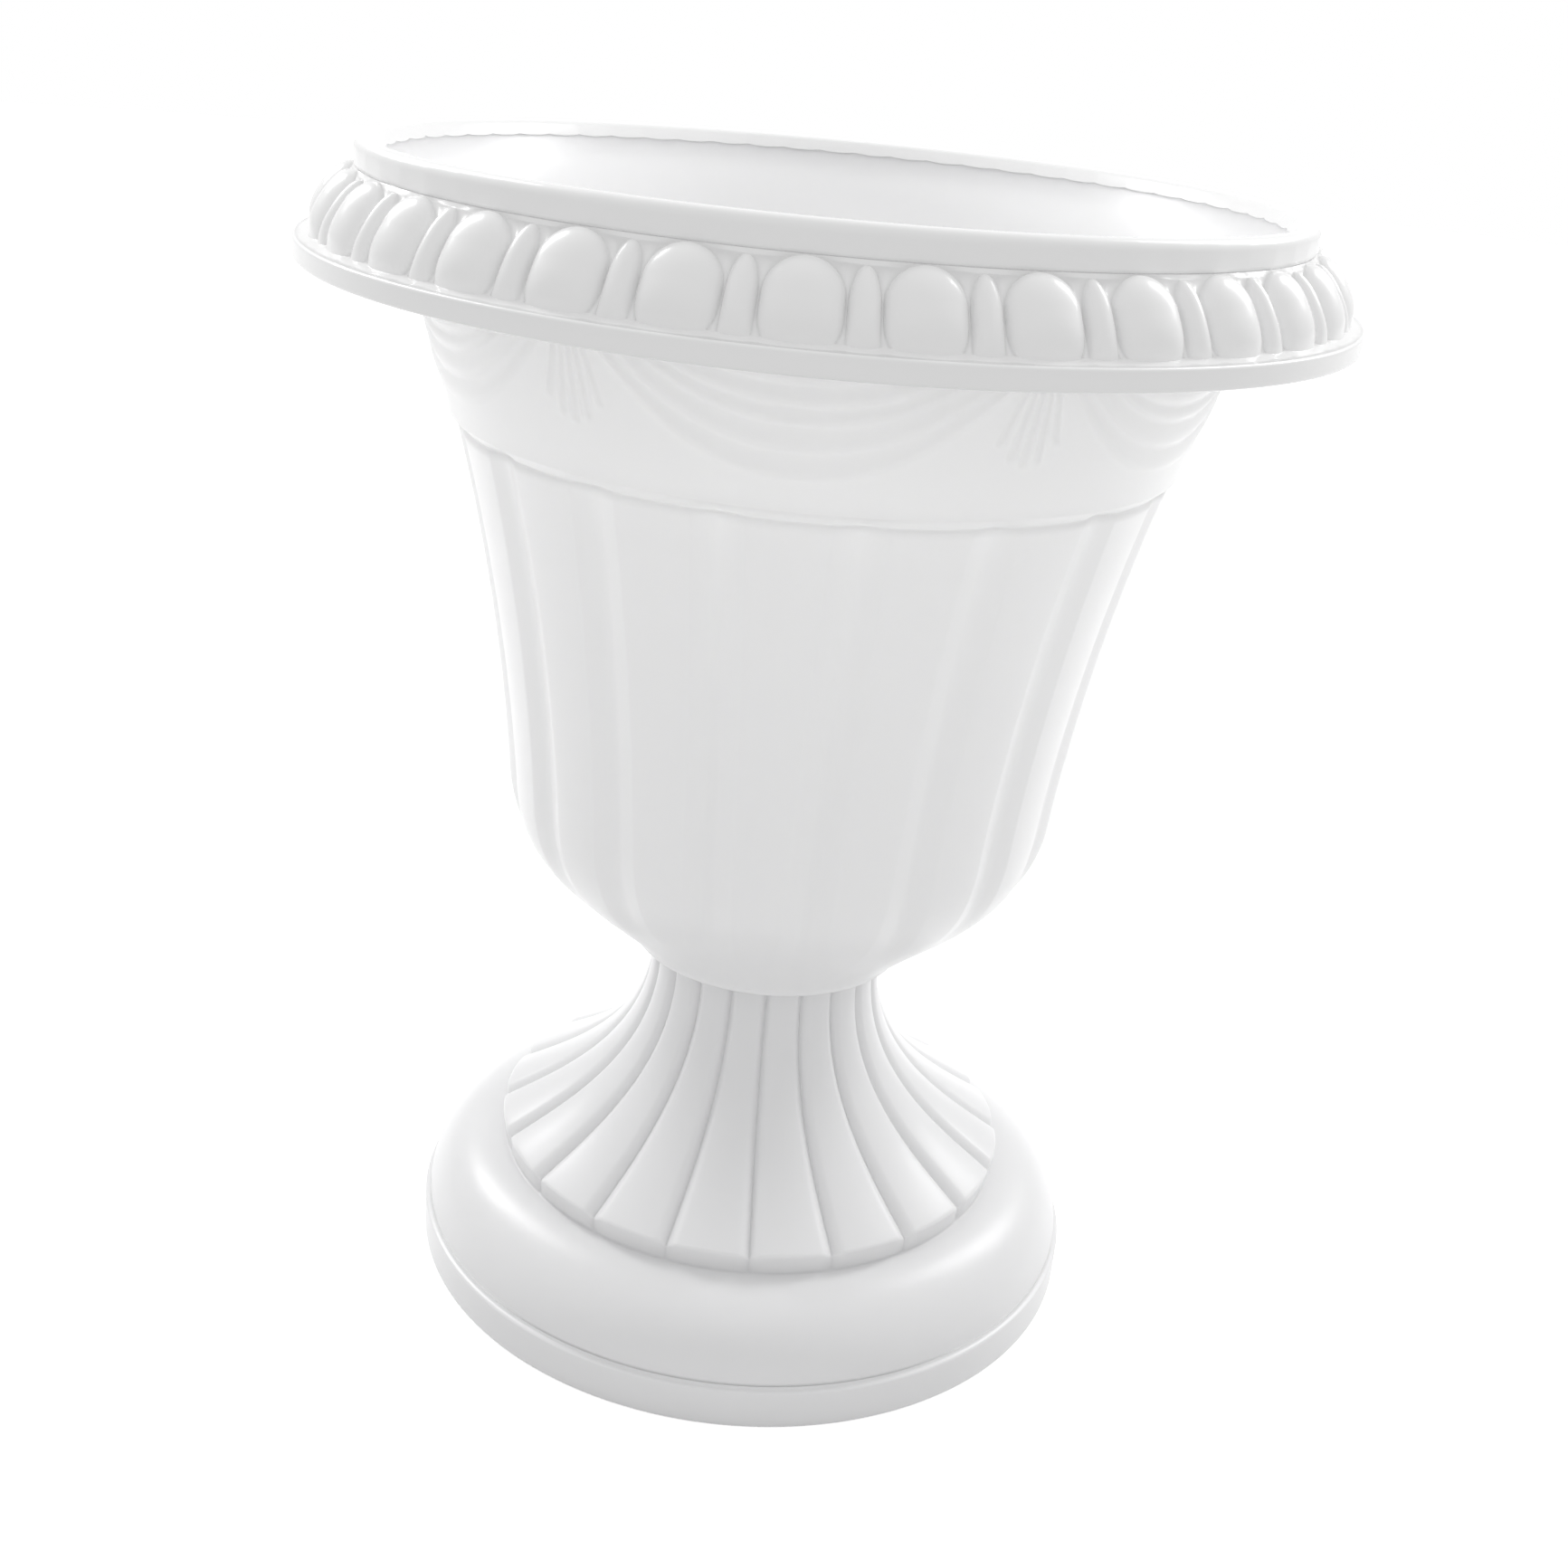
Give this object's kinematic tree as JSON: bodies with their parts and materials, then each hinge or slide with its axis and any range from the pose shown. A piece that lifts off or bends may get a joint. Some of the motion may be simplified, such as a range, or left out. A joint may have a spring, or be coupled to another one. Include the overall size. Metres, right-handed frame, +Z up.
{
  "type": "balcony planter",
  "caption": "Classical urn planter: a fluted bowl with an egg-and-dart rim, bolted to a hollow flaring pedestal, with push-in drain plugs in its floor.",
  "frame": {"origin": "centre of the pedestal's footprint, on the surface that the planter stands on", "axes": "+Z up along the urn's axis, -Y towards the viewer of the picture, +X to that viewer's right"},
  "size_m": [0.2594, 0.2594, 0.305],
  "materials": {
    "bowl_plastic": "white, semi-gloss, slightly translucent",
    "pedestal_plastic": "white, semi-gloss",
    "zinc_steel": "bright zinc plate",
    "seal_rubber": "matt black",
    "plug_rubber": "matt pale grey"
  },
  "bodies": {
    "planter": {"bowl": "bowl_plastic", "pedestal": "pedestal_plastic", "centre_bolt": "zinc_steel", "head_washer": "zinc_steel", "seal_washer": "seal_rubber", "nut_washer": "zinc_steel", "wing_nut": "zinc_steel"},
    "plug_back": {"drain_plug_1": "plug_rubber"},
    "plug_left": {"drain_plug_2": "plug_rubber"},
    "plug_right": {"drain_plug_3": "plug_rubber"}
  },
  "joints": [
    {"name": "plug_back_pull", "type": "slide", "parent": "planter", "child": "plug_back", "axis": [0, 0, 1], "range_m": [0, 0.03]},
    {"name": "plug_left_pull", "type": "slide", "parent": "planter", "child": "plug_left", "axis": [0, 0, 1], "range_m": [0, 0.03]},
    {"name": "plug_right_pull", "type": "slide", "parent": "planter", "child": "plug_right", "axis": [0, 0, 1], "range_m": [0, 0.03]}
  ]
}
